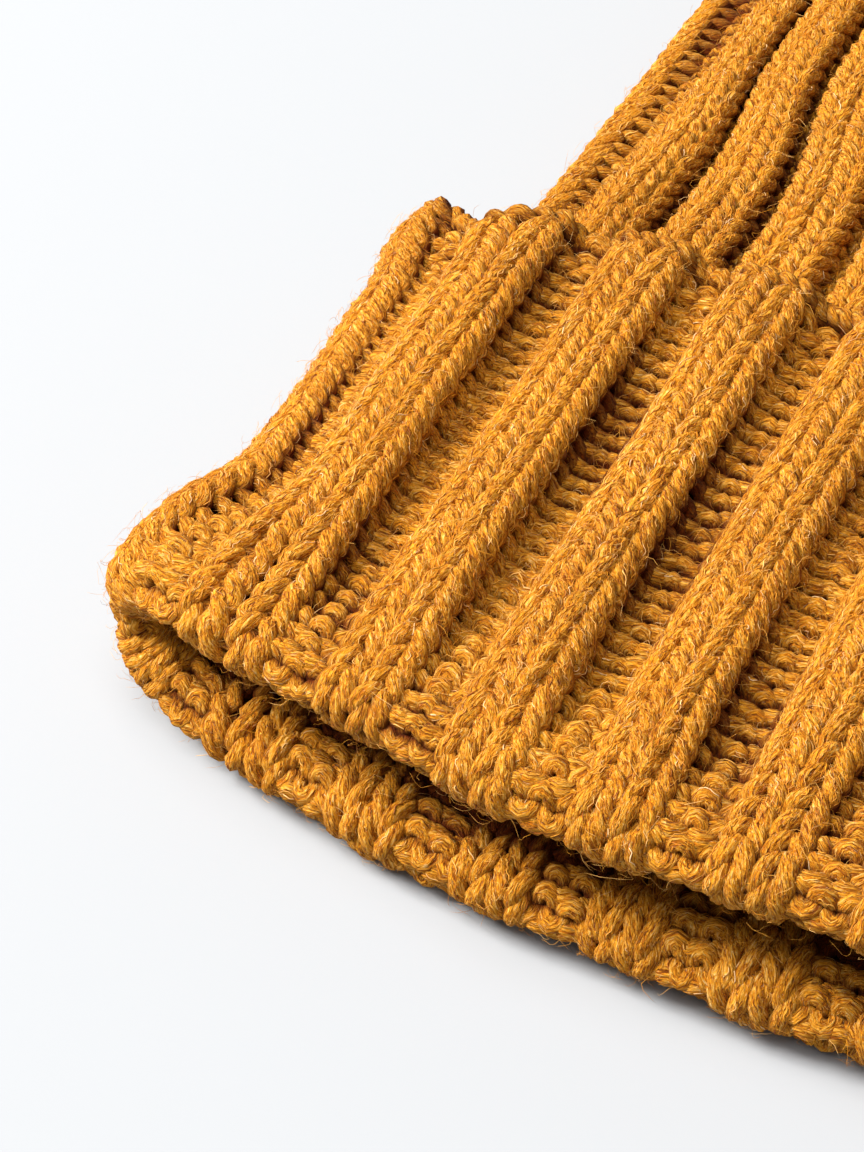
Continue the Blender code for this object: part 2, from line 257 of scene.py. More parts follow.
def surface(place, way):
    """Points on the middle of the fabric, and the direction its cast-on face looks in."""
    place, way = np.broadcast_arrays(np.asarray(place, float), np.asarray(way, float))
    setback = brim_setback(place)
    # turned-up layer
    along = OUTER_END - way - TURN_GAP
    half_width = cuff_half_width(np.maximum(along, 0.0))
    x, z, ox, oz = ring(place, half_width, CUFF_HALF_HEIGHT, CUFF_FLAT, half_width - CUFF_HALF_WIDTH)
    y = BRIM_Y + along + (1 - ease(along, 0.0, SETBACK_TO)) * setback
    dip = EDGE_DIP * np.exp(-(((np.abs(x) - DIP_MIDDLE) / DIP_WIDTH) ** 2)) - EDGE_EAR * ox**2
    y = y - ease(along, EDGE_DIP_FROM, CUFF_LENGTH) * dip
    outer = np.stack([x, y, CUFF_CENTRE + z], -1)
    outer_face = np.stack([ox, np.zeros_like(ox), oz], -1)
    # brim
    angle = np.clip((way - OUTER_END) / TURN, 0.0, math.pi)
    x, z, ox, oz = ring(place, cuff_half_width(0.0) - TURN, CUFF_HALF_HEIGHT - TURN, CUFF_FLAT, SIDE_FLARE)
    c, s = np.cos(angle), np.sin(angle)
    fold_face = np.stack([c * ox, -s, c * oz], -1)
    fold = np.stack([x, BRIM_Y + setback - TURN_GAP, CUFF_CENTRE + z], -1) + TURN * fold_face
    # inner layer, body and crown
    along = way - TURN_END - TURN_GAP
    half_width, half_height = tube_half_width(along), tube_half_height(along)
    run = half_width - half_height
    natural = 4 * run / (4 * run + 2 * math.pi * half_height)
    held = 1 - ease(along, *LETTING_GO)
    covered = ease(along, *COVERED_SPAN)
    flat = CUFF_FLAT + (natural + (BODY_FLAT - natural) * held - CUFF_FLAT) * covered
    flare = brim_flare(np.maximum(along, 0.0))
    x, z, ox, oz = ring(place, half_width, half_height, flat, flare)
    share = np.minimum(np.abs(x) / run, 1.0)
    pull = SIDE_PULL * covered * np.sin(math.pi * share)
    pull = pull + BODY_PULL * ease(along, *BODY_PULL_SPAN) * np.sin(math.pi * share**BODY_PULL_POWER)
    x = x + np.sign(x) * pull * held
    y = BRIM_Y + along + (1 - ease(along, 0.0, SETBACK_TO)) * setback
    inner = np.stack([x, y, tube_centre(along) + z], -1)
    inner_face = -np.stack([ox, np.zeros_like(ox), oz], -1)
    # closing dome
    over = np.clip((along - NECK_END) / DOME, 0.0, 1.0) * math.pi / 2
    spread, rise = np.cos(over)[..., None], np.sin(over)
    dome = inner.copy()
    dome[..., 0] *= spread[..., 0]
    dome[..., 2] = TUBE_CENTRE + (inner[..., 2] - TUBE_CENTRE) * spread[..., 0]
    dome[..., 1] = BRIM_Y + NECK_END + (CROWN_TOP - NECK_END) * rise
    level = np.zeros_like(rise)
    dome_face = unit(inner_face * spread - np.stack([level, rise, level], -1))
    zones = [(way < OUTER_END)[..., None], (way < TURN_END)[..., None], (along < NECK_END)[..., None]]
    point = np.select(zones, [outer, fold, inner], dome)
    return point, np.select(zones, [outer_face, fold_face, inner_face], dome_face)


# ------------------------------------------------------------------------------------------------------------
# Rounds of stitches
# ------------------------------------------------------------------------------------------------------------

def knit_share(way):
    """Share of a repeat's width that the cast-on face's knit columns take."""
    along = way - TURN_END
    return KNIT_SHARE - MOUTH_LESS * ease(along, *MOUTH_SPAN) - BODY_LESS * ease(along, *BODY_SPAN)


def rib_relief(way):
    """How far knit columns stand up from the fabric's middle, and purl columns back from it."""
    along = way - TURN_END
    least, rest, length = START_RELIEF
    start = least + rest * ease(way, 0.0, length)
    deep = RELIEF - FLATTENED * ease(way, OUTER_END - FLATTENED_FROM, OUTER_END)
    deep = deep + BODY_MORE * ease(along, *BODY_SPAN)
    return start * deep * (1 - ease(along, *FADING))


def lateral(stitch, per_group, way):
    """Share of the girth at a stitch position: the middle of a knit pair lies at the middle of the front."""
    knit = knit_share(way)
    if per_group == 8:
        repeat, within = np.divmod(stitch, 4.0)
        moved = np.where(within < 2, knit * within / 2, knit + (1 - knit) * (within - 2) / 2)
        return (repeat + moved - knit / 2 + RIB_SHIFT / REPEAT_WIDTH) / REPEATS
    return (stitch / per_group - GROUP_SHIFT) / GROUPS


def column_side(stitch):
    """+1 in the middle of the cast-on face's knit pairs and -1 in the middle of its purl pairs."""
    return np.cos(math.pi * (stitch - 1) / 2)


def rib_height(base, way):
    """Height of the ribs at shares of the girth: it runs on smoothly where the columns decrease."""
    knit = knit_share(way)
    within = (base * REPEATS + knit / 2 - RIB_SHIFT / REPEAT_WIDTH) % 1.0
    stitch = np.where(within < knit, 2 * within / knit, 2 + 2 * (within - knit) / (1 - knit))
    return rib_relief(way) * np.tanh(STEEP * column_side(stitch)) / math.tanh(STEEP)


def crown_rows():
    """Distances of the crown's rounds, spaced over the closing fabric, and columns in each group."""
    along = np.linspace(CROWN_START, NECK_END, 4000)
    width = tube_half_width(along)
    step = np.hypot(np.diff(along), CROWN_SLOPE * np.diff(width))
    reach = np.concatenate([[0.0], np.cumsum(step)])
    count = int(reach[-1] / (CROWN_ROW * ROW))
    places = np.interp((np.arange(count) + 0.5) * reach[-1] / count, reach, along)
    rows, previous = [], 8
    for place in places:
        half_width, half_height = tube_half_width(place), tube_half_height(place)
        girth = 4 * (half_width - half_height) + 2 * math.pi * half_height
        wanted = int(round(girth / GROUPS / CROWN_COLUMN))
        previous = max(1, min(previous, max(wanted, previous - 1)))
        rows.append((place, previous))
    return rows


def column_steps(way, per_group, steps, near_steps):
    """Stitch positions all round a course, closer together where the hat is seen closest."""
    columns = GROUPS * per_group
    number = np.arange(columns) + columns // 2
    middle, _ = surface(lateral(number + 0.5, per_group, way), np.full(columns, way))
    counts = np.where(near(middle), near_steps, steps)
    return np.concatenate([n + np.arange(count) / count for n, count in zip(number, counts)]), columns


def round_path(way, pitch, per_group, steps, near_steps, show):
    """The yarn's line round one course of stitches, with its face, its height in the stitches and its fuzz.

    The side that shows is the face (show is 1) or the back (show is -1).
    """
    stitch_number, columns = column_steps(way, per_group, steps, near_steps)
    t = 2 * math.pi * stitch_number
    halves = (stitch_number * 2) % (2 * columns)
    low = np.floor(halves).astype(int) % (2 * columns)
    share = ease(halves - np.floor(halves), 0.0, 1.0)

    def jitter(size):
        values = RNG.normal(0.0, size, 2 * columns)
        return values[low] * (1 - share) + values[(low + 1) % (2 * columns)] * share

    lean = LEAN + jitter(LEAN_JITTER)
    stitch = stitch_number + lean * np.sin(2 * t) / (2 * math.pi) + jitter(COLUMN_JITTER)
    base = lateral(stitch, per_group, way)
    ways = way - REACH * pitch * np.cos(t) * (1 + jitter(REACH_JITTER)) + jitter(ROUND_JITTER)
    ways = ways + ROUND_DRIFT * waves(base, way, *ROUND_WAVES)
    facing = np.tanh(TURNING * column_side(stitch)) if per_group == 8 else -np.ones_like(stitch)
    depth = -(LOOP_DEPTH - LOOP_SHIFT * show * facing) * facing * np.cos(2 * t)
    depth = depth - LOOP_SINK * (show - facing) * np.sin(t) ** 2
    flatten = 1.0 if per_group > 2 else NARROW_DEPTH
    relief = rib_height(base, way) * (1 + RELIEF_DRIFT * waves(base, way, *RELIEF_WAVES))
    valley, rest = FUZZ
    fuzz = valley + rest * ease(show * relief, *FUZZ_SPAN)
    place = base + (SIDE_DRIFT * waves(base, ways, *SIDE_WAVES)) / GIRTH
    point, face = surface(place, ways)
    lift = relief + depth * flatten + LIFT_DRIFT * waves(place, ways, *LIFT_WAVES) + jitter(LIFT_JITTER)
    # painted shade deep in the mouth, where the fabric gets little light
    inside = ease(ways - TURN_END, *PAINTED_MOUTH_SHADE_SPAN) if show == 1 else 0.0
    height = show * (lift - SUNK * relief) - PAINTED_MOUTH_SHADE * inside
    return point + face * lift[:, None], face, height, fuzz


def near(points):
    """Where the hat is seen closest: the left of the cuff and of the body, and both layers of the brim."""
    x, y, z = points[..., 0], points[..., 1], points[..., 2]
    start, slope, forward = NEAR_EDGE
    left = x < start - slope * (y + forward)
    return left & (y < NEAR_TO) & (z > PRESSED) & ((z > FRONT_FROM) | (y < MOUTH_TO))


def settle(points):
    """Nothing goes below the table: fabric that would is pressed flat on it."""
    z = points[..., 2]
    points[..., 2] = np.where(z < PRESSED, PRESSED * np.exp((z - PRESSED) / PRESSED), z)
    return points


class Yarn:
    """A line of yarn with its directions, ready to be given a skin or fibres."""

    def __init__(self, points, face, radius=YARN, closed=True, show=1, height=None, fuzz=None):
        self.points, self.closed, self.show = points, closed, show
        self.height = np.zeros(len(points)) if height is None else height
        self.fuzz = np.ones(len(points)) if fuzz is None else fuzz
        if closed:
            tangent = np.roll(points, -1, 0) - np.roll(points, 1, 0)
        else:
            tangent = np.gradient(points, axis=0)
        self.tangent = unit(tangent)
        self.face = face
        self.up = unit(face - (face * self.tangent).sum(1, keepdims=True) * self.tangent)
        self.side = np.cross(self.tangent, self.up)
        gaps = np.linalg.norm(np.diff(points, axis=0), axis=1)
        self.length = np.concatenate([[0.0], np.cumsum(gaps)])
        swell = waves(self.length * 9.0, 0.0, RNG.integers(1 << 30), 12.0, 1.0, 8)
        self.radius = radius * (1 + SWELL * swell)


class Shape:
    """Vertices, faces and the yarn coordinates of one piece, gathered before its mesh is made."""

    def __init__(self):
        self.points, self.quads, self.tris, self.count = [], [], [], 0
        self.yarn, self.depth, self.tone = [], [], []

    def skin(self, yarn, sides):
        """A skin round a yarn, with a dent between its plies."""
        n = len(yarn.points)
        turn = np.arange(sides) * (2 * math.pi / sides)
        out = yarn.up[:, None] * np.cos(turn)[:, None] + yarn.side[:, None] * np.sin(turn)[:, None]
        phase = turn[None, :] + TWIST * yarn.length[:, None]
        plies = PLY_DEPTH * np.cos(PLIES * phase)
        thick = yarn.radius[:, None] * (1 + plies + RNG.normal(0.0, ROUGH, phase.shape))
        points = yarn.points[:, None] + out * thick[:, :, None]
        fibre = np.stack([np.cos(phase), np.sin(phase), np.repeat(yarn.length[:, None], sides, 1) * MM], -1)
        i = np.arange(n if yarn.closed else n - 1)[:, None]
        j = np.arange(sides)[None, :]
        k, m = (i + 1) % n, (j + 1) % sides
        quads = np.stack([i * sides + j, i * sides + m, k * sides + m, k * sides + j], -1).reshape(-1, 4)
        self.quads.append(quads + self.count)
        self.points.append(points.reshape(-1, 3))
        self.yarn.append(fibre.reshape(-1, 3))
        rise = (out * yarn.face[:, None]).sum(-1) * thick * yarn.show
        # height in the stitches, which the painted gap shade reads
        self.depth.append((yarn.height[:, None] + rise).ravel() * MM)
        if not yarn.closed:
            for tip, end, order in ((0, 0, 1), (1, n - 1, -1)):
                rim = end * sides + np.arange(sides)
                tris = np.stack([np.full(sides, n * sides + tip), np.roll(rim, -order), rim], -1)
                self.tris.append(tris + self.count)
            tips = yarn.points[[0, -1]] + yarn.tangent[[0, -1]] * yarn.radius[[0, -1], None] * [[-0.7], [0.7]]
            self.points.append(tips)
            self.yarn.append(np.zeros((2, 3)))
            self.depth.append(np.zeros(2))
            self.count += 2
        self.count += n * sides

    def strands(self, lines, radius, depth, tone):
        """Thin pointed fibres through lines of shape (number, points, 3)."""
        number, steps, _ = lines.shape
        tangent = unit(np.gradient(lines, axis=1))
        helper = np.where(np.abs(tangent[:, :1, 2:3]) < 0.8, [[[0.0, 0.0, 1.0]]], [[[1.0, 0.0, 0.0]]])
        up = unit(np.cross(tangent, np.broadcast_to(helper, tangent.shape)))
        side = np.cross(tangent, up)
        inner = steps - 2
        turn = np.arange(3) * (2 * math.pi / 3)
        out = up[:, 1:-1, None] * np.cos(turn)[:, None] + side[:, 1:-1, None] * np.sin(turn)[:, None]
        rings = lines[:, 1:-1, None] + out * radius[:, None, None, None]
        block = inner * 3 + 2
        points = np.concatenate([rings.reshape(number, -1, 3), lines[:, :1], lines[:, -1:]], 1)
        first = (np.arange(number) * block)[:, None]
        i = np.arange(inner - 1)[:, None]
        j = np.arange(3)[None, :]
        m = (j + 1) % 3
        quads = np.stack([i * 3 + j, i * 3 + m, (i + 1) * 3 + m, (i + 1) * 3 + j], -1).reshape(1, -1, 4)
        self.quads.append((quads + first[:, :, None]).reshape(-1, 4) + self.count)
        j = np.arange(3)
        m = (j + 1) % 3
        start = np.stack([np.full(3, inner * 3), m, j], -1)
        last = (inner - 1) * 3
        end = np.stack([np.full(3, inner * 3 + 1), last + j, last + m], -1)
        tris = np.concatenate([start, end])[None]
        self.tris.append((tris + first[:, :, None]).reshape(-1, 3) + self.count)
        self.points.append(points.reshape(-1, 3))
        self.depth.append(np.repeat(depth * MM, block))
        self.tone.append(np.repeat(tone, block))
        self.count += number * block

    def make(self, name, look):
        """The piece itself, with the attributes that its material reads."""
        points = settle(np.concatenate(self.points)).astype(np.float32)
        quads = np.concatenate(self.quads) if self.quads else np.zeros((0, 4), int)
        tris = np.concatenate(self.tris) if self.tris else np.zeros((0, 3), int)
        mesh = bpy.data.meshes.new(name)
        mesh.vertices.add(len(points))
        mesh.vertices.foreach_set("co", points.ravel())
        loops = np.concatenate([quads.ravel(), tris.ravel()]).astype(np.int32)
        mesh.loops.add(len(loops))
        mesh.loops.foreach_set("vertex_index", loops)
        mesh.polygons.add(len(quads) + len(tris))
        starts = np.concatenate([np.arange(len(quads)) * 4, len(quads) * 4 + np.arange(len(tris)) * 3])
        mesh.polygons.foreach_set("loop_start", starts.astype(np.int32))
        mesh.update(calc_edges=True)
        mesh.shade_smooth()
        for kind, values, attribute, part in (("yarn", self.yarn, "FLOAT_VECTOR", "vector"),
                                              ("depth", self.depth, "FLOAT", "value"),
                                              ("tone", self.tone, "FLOAT", "value")):
            if values:
                layer = mesh.attributes.new(kind, attribute, "POINT")
                layer.data.foreach_set(part, np.concatenate(values).astype(np.float32).ravel())
        mesh.materials.append(look)
        made = bpy.data.objects.new(name, mesh)
        bpy.context.scene.collection.objects.link(made)
        return made


# ------------------------------------------------------------------------------------------------------------
# Materials
# ------------------------------------------------------------------------------------------------------------

def node(tree, kind, **settings):
    made = tree.nodes.new(kind)
    for key, value in settings.items():
        setattr(made, key, value)
    return made


def dial(made, settings):
    """Sets a node's unconnected inputs."""
    for key, value in settings.items():
        made.inputs[key].default_value = value


def ramp(tree, factor, stops):
    made = node(tree, "ShaderNodeValToRGB")
    marks = made.color_ramp.elements
    while len(marks) < len(stops):
        marks.new(0.5)
    for mark, (position, colour) in zip(marks, stops):
        mark.position = position
        mark.color = (*colour, 1.0)
    tree.links.new(factor, made.inputs["Fac"])
    return made.outputs["Color"]


def noise(tree, vector, scale, detail, roughness, distortion):
    made = node(tree, "ShaderNodeTexNoise")
    dial(made, {"Scale": scale, "Detail": detail, "Roughness": roughness, "Distortion": distortion})
    tree.links.new(vector, made.inputs["Vector"])
    return made.outputs["Fac"]


def stretched(tree, vector, around, along, offset=0.0):
    """Coordinates on the yarn, drawn out along it."""
    made = node(tree, "ShaderNodeMapping")
    dial(made, {"Scale": (around, around, along), "Location": (offset, 0.3 * offset, 0.7 * offset)})
    tree.links.new(vector, made.inputs["Vector"])
    return made.outputs["Vector"]


def mix(tree, factor, a, b, blend="MIX"):
    made = node(tree, "ShaderNodeMix", data_type="RGBA", blend_type=blend)
    for value, socket in ((factor, made.inputs[0]), (a, made.inputs[6]), (b, made.inputs[7])):
        if isinstance(value, (int, float)):
            socket.default_value = value
        elif isinstance(value, tuple):
            socket.default_value = (*value, 1.0)
        else:
            tree.links.new(value, socket)
    return made.outputs[2]


def painted_gap_shade(tree, colour):
    """Painted shade: colour darkened into the gaps between the stitches by their height in them, as little light
    gets in there.
    """
    depth = node(tree, "ShaderNodeAttribute", attribute_name="depth").outputs["Fac"]
    share = node(tree, "ShaderNodeMapRange", interpolation_type="SMOOTHSTEP")
    dial(share, {"From Min": GAP_DEPTH, "From Max": TOP_DEPTH})
    tree.links.new(depth, share.inputs["Value"])
    shade = mix(tree, share.outputs["Result"], PAINTED_GAP_SHADE, (1.0, 1.0, 1.0))
    return mix(tree, 1.0, colour, shade, "MULTIPLY")


def new_material(name):
    made = bpy.data.materials.new(name)
    made.use_nodes = True
    return made, made.node_tree, made.node_tree.nodes["Principled BSDF"]


def yarn_material(name):
    """Wool-blend yarn: crimped fibres streak along the twisted plies, over a faint drift of the dye, with
    painted shade darkening it into the gaps between the stitches.
    """
    made, tree, shader = new_material(name)
    yarn = node(tree, "ShaderNodeAttribute", attribute_name="yarn").outputs["Vector"]
    place = node(tree, "ShaderNodeTexCoord").outputs["Object"]
    fibres = noise(tree, stretched(tree, yarn, 4.2, 1.1), 1.0, 3.0, 0.65, 0.9)
    fine = noise(tree, stretched(tree, yarn, 9.0, 2.6, 4.0), 1.0, 2.0, 0.6, 0.6)
    plies = noise(tree, stretched(tree, yarn, 1.6, 0.16, 9.0), 1.0, 1.0, 0.5, 0.0)
    drift = noise(tree, place, 55.0, 2.0, 0.5, 0.0)
    colour = ramp(tree, fibres, [
        (0.34, (0.160, 0.036, 0.001)), (0.44, (0.450, 0.138, 0.003)), (0.53, (0.700, 0.285, 0.012)),
        (0.62, (0.780, 0.400, 0.060)), (0.73, (0.800, 0.540, 0.230))])
    pale = ramp(tree, fine, [(0.60, (0.0, 0.0, 0.0)), (0.74, (0.55, 0.55, 0.55))])
    colour = mix(tree, pale, colour, (0.80, 0.58, 0.30))
    dark = ramp(tree, drift, [(0.30, (0.86, 0.80, 0.76)), (0.70, (1.05, 1.01, 0.99))])
    colour = mix(tree, 1.0, colour, dark, "MULTIPLY")
    # painted shade into the gaps between the stitches
    tree.links.new(painted_gap_shade(tree, colour), shader.inputs["Base Color"])
    height = node(tree, "ShaderNodeMath", operation="MULTIPLY_ADD")
    tree.links.new(fibres, height.inputs[0])
    height.inputs[1].default_value = 0.80
    tree.links.new(plies, height.inputs[2])
    bump = node(tree, "ShaderNodeBump")
    dial(bump, {"Strength": 1.0, "Distance": 0.0011})
    tree.links.new(height.outputs[0], bump.inputs["Height"])
    tree.links.new(bump.outputs["Normal"], shader.inputs["Normal"])
    rough = node(tree, "ShaderNodeMapRange")
    dial(rough, {"To Min": 0.66, "To Max": 0.95})
    tree.links.new(fine, rough.inputs["Value"])
    tree.links.new(rough.outputs["Result"], shader.inputs["Roughness"])
    dial(shader, {"Specular IOR Level": 0.08, "Sheen Weight": 0.03, "Sheen Roughness": 0.45,
                  "Sheen Tint": (1.0, 0.76, 0.40, 1.0)})
    return made


def fibre_material(name):
    """Loose fibres: each has its own tone, from brown through mustard to pale gold, with painted shade where
    they lie deep in the stitches.
    """
    made, tree, shader = new_material(name)
    tone = node(tree, "ShaderNodeAttribute", attribute_name="tone").outputs["Fac"]
    place = node(tree, "ShaderNodeTexCoord").outputs["Object"]
    specks = noise(tree, place, 900.0, 1.0, 0.5, 0.0)
    flecks = ramp(tree, specks, [(0.35, (0.80, 0.76, 0.70)), (0.65, (1.0, 1.0, 1.0))])
    colour = ramp(tree, tone, [
        (0.00, (0.300, 0.075, 0.002)), (0.30, (0.600, 0.205, 0.006)), (0.60, (0.770, 0.325, 0.020)),
        (0.85, (0.830, 0.460, 0.130)), (1.00, (0.830, 0.590, 0.350))])
    colour = mix(tree, 1.0, colour, flecks, "MULTIPLY")
    # painted shade where the fibres lie deep in the stitches
    tree.links.new(painted_gap_shade(tree, colour), shader.inputs["Base Color"])
    dial(shader, {"Roughness": 0.55, "Specular IOR Level": 0.25})
    return made


# ------------------------------------------------------------------------------------------------------------
# Fibres
# ------------------------------------------------------------------------------------------------------------

def surface_fibres(yarn, number, keep, lift, length, steps, crimp):
    """Crimped fibres that lie on the yarn and follow its twist, and how high each lies in the stitch."""
    count = len(yarn.points)
    total = yarn.length[-1]
    start = RNG.uniform(0.0, total, number)
    span = RNG.uniform(*length, number)
    angle = RNG.uniform(-math.pi, math.pi, number)
    share = np.linspace(0.0, 1.0, steps)[None]
    along = np.clip(start[:, None] + span[:, None] * share, 0.0, total)
    index = np.interp(along, yarn.length, np.arange(count))
    low = np.minimum(index.astype(int), count - 2)
    part = (index - low)[..., None]

    def at(values):
        return values[low] * (1 - part) + values[low + 1] * part

    slip = RNG.normal(-TWIST, FIBRE_SLIP, number)[:, None]
    wave = 2 * math.pi * (span[:, None] * share / CRIMP + RNG.uniform(0, 1, number)[:, None])
    turn = angle[:, None] + slip * (along - start[:, None]) + crimp / YARN * np.sin(wave)
    out = unit(at(yarn.up) * np.cos(turn)[..., None] + at(yarn.side) * np.sin(turn)[..., None])
    high = RNG.uniform(*lift, number)[:, None]
    bulge = np.sin(math.pi * share) ** 0.8
    ripple = 0.2 * crimp * np.cos(wave * 1.3)
    radius = at(yarn.radius[:, None])[..., 0] * SEAT + high * bulge + ripple * bulge
    points = at(yarn.points) + out * radius[..., None]
    middle = steps // 2
    facing = (out[:, middle] * at(yarn.face)[:, middle]).sum(1) * yarn.show
    depth = at(yarn.height[:, None])[:, middle, 0] + facing * radius[:, middle]
    kept = keep(at(yarn.points)[:, middle], facing) & (depth > LOWEST_FIBRE)
    kept &= RNG.random(number) < at(yarn.fuzz[:, None])[:, middle, 0]
    return points[kept], depth[kept]


def stray_hairs(yarn, number, keep, reach, steps):
    """Curling hairs that stand off the fabric."""
    pick = RNG.integers(0, len(yarn.points), number)
    pick = pick[keep(yarn.points[pick], np.ones(number))]
    number = len(pick)
    base, tangent, out = yarn.points[pick], yarn.tangent[pick], yarn.show * yarn.face[pick]
    side = np.cross(tangent, out)
    angle = RNG.uniform(0, 2 * math.pi, number)[:, None]
    heading = tangent * np.cos(angle) + side * np.sin(angle)
    cross = np.cross(heading, out)
    share = np.linspace(0.0, 1.0, steps)[None, :, None]
    high = RNG.uniform(*reach, number)[:, None, None]
    long = RNG.uniform(*HAIR_LENGTH, number)[:, None, None]
    free = RNG.uniform(0.0, 1.0, number)[:, None, None] ** 0.7
    curl = RNG.normal(0.0, HAIR_CURL, number)[:, None, None]
    rise = high * np.sin(math.pi * share * (1 - HAIR_STANDING * free))
    points = (base + out * yarn.radius[pick, None] * 0.9)[:, None] + out[:, None] * rise
    points = points + heading[:, None] * long * share + cross[:, None] * curl * np.sin(math.pi * share * 1.3)
    points = points + RNG.normal(0.0, HAIR_CRUMPLE, points.shape) * np.minimum(1.0, share * 3)
    return points, yarn.height[pick] + yarn.radius[pick] * 0.9


# ------------------------------------------------------------------------------------------------------------
# The hat
# ------------------------------------------------------------------------------------------------------------

knit_look = yarn_material("mustard_yarn")
edge_look = yarn_material("mustard_yarn_edge")
hair_look = fibre_material("mustard_fibres")


def rounds():
    """Every round of stitches: its zone, distance over the surface, pitch, columns in each group."""
    made = []
    way = ROW / 2
    while way < TURN_END + CROWN_START + TURN_GAP - ROW / 2:
        if way < OUTER_END - CUFF_SHORT:
            zone = "cuff"
        elif way < TURN_END + BRIM_LONG:
            zone = "brim"
        elif way < TURN_END + MOUTH_DEPTH:
            zone = "inner"
        elif way < TURN_END + CUFF_LENGTH:
            zone = "covered"
        else:
            zone = "body"
        made.append((zone, way, ROW, 8))
        way += ROW
    crown = crown_rows()
    for number, (along, per_group) in enumerate(crown):
        after = crown[number + 1][0] if number + 1 < len(crown) else NECK_END
        pitch = max(LEAST_ROW, min(ROW, CROWN_REACH * (after - along)))
        made.append(("crown", along + TURN_END + TURN_GAP, pitch, per_group))
    for extra in GATHER_ROUNDS:
        made.append(("gather", NECK_END + extra + TURN_END + TURN_GAP, LEAST_ROW, 1))
    return made


# for each zone: steps in a stitch, far and near, sides of the yarn's skin, and the side that is seen, as in
# round_path
ZONES = {"cuff": (12, 26, 10, 1), "brim": (14, 26, 10, 1), "inner": (8, 12, 6, 1), "covered": (12, 12, 8, -1),
         "body": (12, 20, 8, -1), "crown": (12, 12, 8, -1), "gather": (16, 16, 8, -1)}
PIECE_TRIANGLES = 190000

yarns = {}
for zone, way, pitch, per_group in rounds():
    steps, near_steps, _, show = ZONES[zone]
    points, face, height, fuzz = round_path(way, pitch, per_group, steps, near_steps, show)
    yarns.setdefault(zone, []).append(Yarn(points, face, show=show, height=height, fuzz=fuzz))

pieces = {}
for zone, lines in yarns.items():
    sides = ZONES[zone][2]
    shapes, size = [Shape()], 0
    for line in lines:
        triangles = len(line.points) * sides * 2
        if size + triangles > PIECE_TRIANGLES:
            shapes.append(Shape())
            size = 0
        shapes[-1].skin(line, sides)
        size += triangles
    pieces[zone] = [shape.make(f"{zone}_rounds_{number}", knit_look) for number, shape in enumerate(shapes, 1)]

# cast-on edge: two strands twisted round each other along the cuff's free edge
EDGE_STEPS, EDGE_WAY, EDGE_TWIST = 12, -0.0016, 0.00085
stitch = np.arange(COLUMNS * EDGE_STEPS) / EDGE_STEPS + COLUMNS / 2
place = lateral(stitch, 8, 0.0)
centre, face = surface(place, np.full(len(stitch), EDGE_WAY))
relief = rib_height(place, 0.0)
centre = centre + face * (relief + LIFT_DRIFT * waves(place, 0.0, *LIFT_WAVES))[:, None]
edge = Shape()
for strand in (0, 1):
    turn = 2 * math.pi * stitch + math.pi * strand
    across = np.stack([0 * turn, np.ones_like(turn), 0 * turn], -1)
    c, s = EDGE_TWIST * np.cos(turn)[:, None], EDGE_TWIST * np.sin(turn)[:, None]
    edge.skin(Yarn(centre + across * c + face * s, face, YARN * 0.92), 8)
cast_on = edge.make("cast_on_chain", edge_look)

# the yarn that closes the crown, and its woven-in end
RING_RADIUS, RING_STEPS, RING_WAVE = 0.0033, 72, 0.0003
turns = np.linspace(0, 2 * math.pi, RING_STEPS, endpoint=False)
closing = np.stack([RING_RADIUS * np.cos(turns),
                    np.full(RING_STEPS, BRIM_Y + NECK_END - 0.0020) + RING_WAVE * np.sin(3 * turns),
                    TUBE_CENTRE + RING_RADIUS * np.sin(turns)], -1)
closing_face = np.stack([np.cos(turns), 0 * turns, np.sin(turns)], -1)
shape = Shape()
shape.skin(Yarn(closing, closing_face, CLOSING_YARN), 8)
closing_yarn = shape.make("closing_yarn_ring", edge_look)

TAIL_FROM, TAIL_LENGTH, TAIL_DRIFT, TAIL_SWAY, TAIL_STEPS = 0.0045, 0.038, 0.012, 0.0016, 120
FABRIC_HALF, TAIL_HALF, TAIL_CLEAR, TAIL_SAG = 0.0026, 0.0011, 0.0004, 0.0012
share = np.linspace(0.0, 1.0, TAIL_STEPS)
along = NECK_END - TAIL_FROM - TAIL_LENGTH * share
inside = tube_half_height(along) - FABRIC_HALF - TAIL_HALF - TAIL_CLEAR
tail = np.stack([TAIL_DRIFT * share + TAIL_SWAY * np.sin(5 * math.pi * share), BRIM_Y + along,
                 tube_centre(along) + inside - TAIL_SAG * np.sin(math.pi * share) ** 2], -1)
shape = Shape()
shape.skin(Yarn(tail, np.tile([0.0, 0.0, 1.0], (TAIL_STEPS, 1)), CLOSING_YARN, closed=False), 8)
yarn_end = shape.make("crown_yarn_tail", edge_look)

# fibres: lift from the yarn, length, points, radius, crimp, tones; hairs: reach, points, radius, tones
BUNDLES = ((-0.00002, 0.00010), (0.0008, 0.0020), 7, (0.000038, 0.000078), 0.00018, (-0.10, 0.96))
SINGLES = ((0.00002, 0.00030), (0.0007, 0.0020), 5, (0.000018, 0.000030), 0.00016, (0.15, 0.92))
LOOSE = ((0.00005, 0.00030), (0.0020, 0.0050), 6, (0.000030, 0.000055), 0.00016, (0.15, 0.95))
HAIRS = ((0.0001, 0.0010), 6, (0.000013, 0.000024), (0.35, 0.90))


def shows_near(base, facing):
    return (facing > -0.15) & (base[:, 2] > LOWEST_SEEN) & near(base)


def shows_far(base, facing):
    return (facing > 0.05) & (base[:, 2] > LOWEST_SEEN) & ~near(base)


